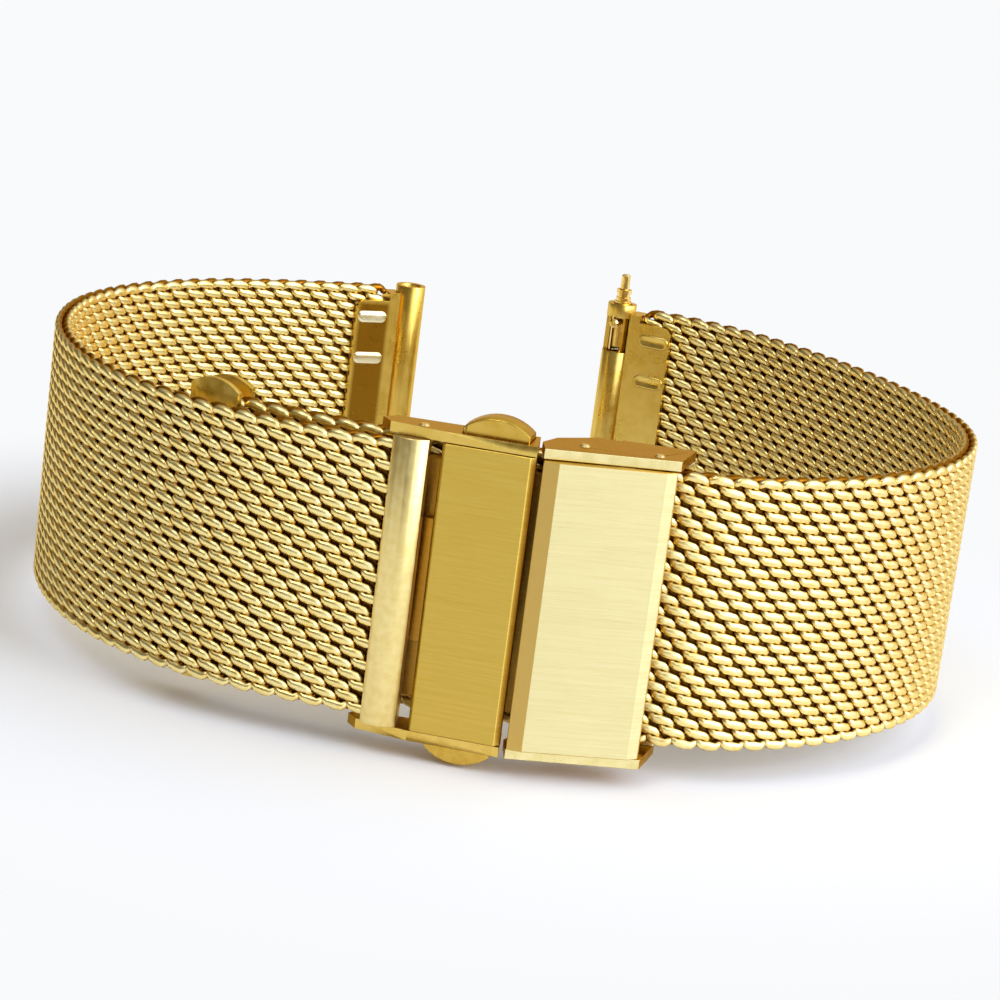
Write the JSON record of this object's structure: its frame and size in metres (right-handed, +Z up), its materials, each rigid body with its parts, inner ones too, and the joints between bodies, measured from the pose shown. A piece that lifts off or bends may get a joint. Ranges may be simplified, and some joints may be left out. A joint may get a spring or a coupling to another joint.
{
  "type": "watch band",
  "caption": "Woven metal mesh watch band, closed in a loop by a folding push-button clasp with a sliding lock box, with spring bars at its lug ends.",
  "frame": {"origin": "middle of the band's box, on the surface that the band stands on", "axes": "+X to the right along the clasp as seen from outside, +Y from the clasp towards the lug ends, +Z up across the width of the mesh"},
  "size_m": [0.0644, 0.0612, 0.0227],
  "materials": {
    "mesh_gold": "gold-toned woven wire",
    "brushed_gold": "gold-toned, finely brushed along the clasp",
    "brushed_gold_light": "pale gold-toned, finely brushed",
    "polished_gold": "gold-toned, polished",
    "pin_gold": "gold-toned, turned",
    "spring_steel": "plain steel"
  },
  "bodies": {
    "right_panel": {"right_mesh": "mesh_gold", "tail_cap": "polished_gold", "right_end_link": "brushed_gold"},
    "right_bar": {"right_bar_tube": "pin_gold", "right_fixed_tip": "spring_steel", "right_bar_spring": "spring_steel"},
    "right_tip": {"right_sliding_tip": "pin_gold"},
    "slider": {"slider_box": "polished_gold", "flap_pin": "pin_gold", "blade_pin": "pin_gold"},
    "locking_flap": {"locking_flap": "brushed_gold_light"},
    "inner_blade": {"inner_blade": "brushed_gold", "fold_pin": "pin_gold"},
    "outer_blade": {"outer_blade": "brushed_gold"},
    "clasp_frame": {"clasp_frame": "polished_gold", "clasp_plate": "brushed_gold", "frame_pin": "pin_gold", "end_bar_pin": "pin_gold", "upper_button_spring": "spring_steel", "lower_button_spring": "spring_steel"},
    "upper_button": {"upper_button": "brushed_gold"},
    "lower_button": {"lower_button": "brushed_gold"},
    "left_panel": {"end_bar": "polished_gold", "left_mesh": "mesh_gold", "left_end_link": "brushed_gold"},
    "left_bar": {"left_bar_tube": "pin_gold", "left_fixed_tip": "spring_steel", "left_bar_spring": "spring_steel"},
    "left_tip": {"left_sliding_tip": "pin_gold"}
  },
  "joints": [
    {"name": "slider_travel", "type": "slide", "parent": "right_panel", "child": "slider", "axis": [-0.9976, 0.0698, 0], "range_m": [0, 0.0023]},
    {"name": "flap_hinge", "type": "hinge", "parent": "slider", "child": "locking_flap", "pos_m": [0.00943, -0.02828, 0.01135], "axis": [0, 0, 1], "range_deg": [0, 55]},
    {"name": "blade_hinge", "type": "hinge", "parent": "slider", "child": "inner_blade", "pos_m": [0.00483, -0.02808, 0.01135], "axis": [0, 0, 1], "range_deg": [0, 28.05]},
    {"name": "fold_hinge", "type": "hinge", "parent": "inner_blade", "child": "outer_blade", "pos_m": [-0.01496, -0.02453, 0.01135], "axis": [0, 0, -1], "range_deg": [0, 170]},
    {"name": "frame_hinge", "type": "hinge", "parent": "outer_blade", "child": "clasp_frame", "pos_m": [0.00112, -0.02841, 0.01135], "axis": [0, 0, -1], "range_deg": [-170, 0]},
    {"name": "upper_button_press", "type": "slide", "parent": "clasp_frame", "child": "upper_button", "axis": [0, 0, -1], "range_m": [0, 0.0006], "stiffness_N_per_m": 300, "springref_m": -0.0002, "deforming": ["upper_button_spring"]},
    {"name": "lower_button_press", "type": "slide", "parent": "clasp_frame", "child": "lower_button", "axis": [0, 0, 1], "range_m": [0, 0.0006], "stiffness_N_per_m": 300, "springref_m": -0.0002, "deforming": ["lower_button_spring"]},
    {"name": "panel_hinge", "type": "hinge", "parent": "clasp_frame", "child": "left_panel", "pos_m": [-0.00505, -0.028, 0.01135], "axis": [0, 0, 1], "range_deg": [0, 20]},
    {"name": "left_bar_turn", "type": "hinge", "parent": "left_panel", "child": "left_bar", "pos_m": [-0.00904, 0.02521, 0.01135], "axis": [0, 0, 1], "range_deg": [-30, 30]},
    {"name": "left_tip_draw", "type": "slide", "parent": "left_bar", "child": "left_tip", "axis": [0, 0, 1], "range_m": [0, 0.002], "stiffness_N_per_m": 100, "springref_m": -0.0002, "deforming": ["left_bar_spring"]},
    {"name": "right_bar_turn", "type": "hinge", "parent": "right_panel", "child": "right_bar", "pos_m": [0.00785, 0.02941, 0.01135], "axis": [0, 0, 1], "range_deg": [-30, 30]},
    {"name": "right_tip_draw", "type": "slide", "parent": "right_bar", "child": "right_tip", "axis": [0, 0, -1], "range_m": [0, 0.002], "stiffness_N_per_m": 100, "springref_m": -0.0002, "deforming": ["right_bar_spring"]}
  ],
  "couplings": [
    {"joint": "blade_hinge", "follows": "fold_hinge", "ratio": 0.165},
    {"joint": "frame_hinge", "follows": "fold_hinge", "ratio": -1}
  ]
}
